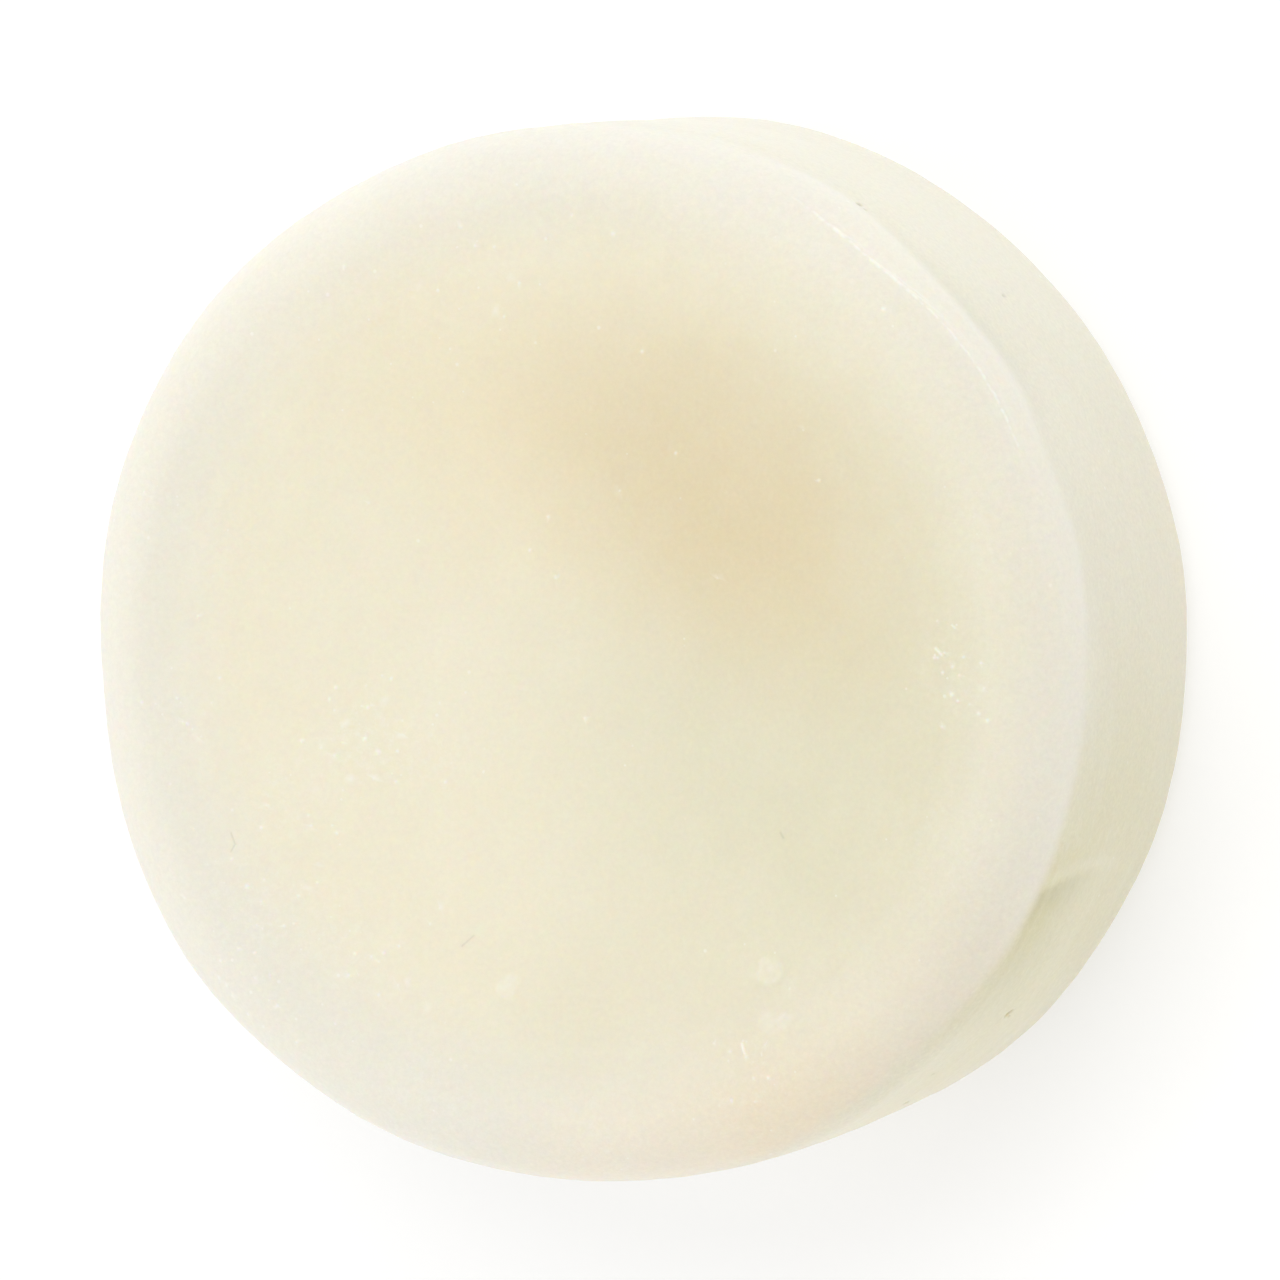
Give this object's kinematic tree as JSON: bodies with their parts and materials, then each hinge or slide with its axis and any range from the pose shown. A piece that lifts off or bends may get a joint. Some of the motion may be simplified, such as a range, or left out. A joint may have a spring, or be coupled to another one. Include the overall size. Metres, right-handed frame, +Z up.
{
  "type": "shaving soap puck",
  "caption": "Round puck of hard shaving soap with a dished face, a soft round rim and a flat base; sits in a bowl or mug and is lathered with a wet brush.",
  "frame": {"origin": "centre of the flat underside, which is the centre of the bounding box's bottom face", "axes": "+Z up along the puck's axis, from the flat underside to the dished face; the puck is round about it, so +X and +Y are free"},
  "size_m": [0.07, 0.07, 0.027],
  "materials": {
    "soap": "satin"
  },
  "bodies": {
    "root": {"soap_puck": "soap"}
  },
  "joints": []
}
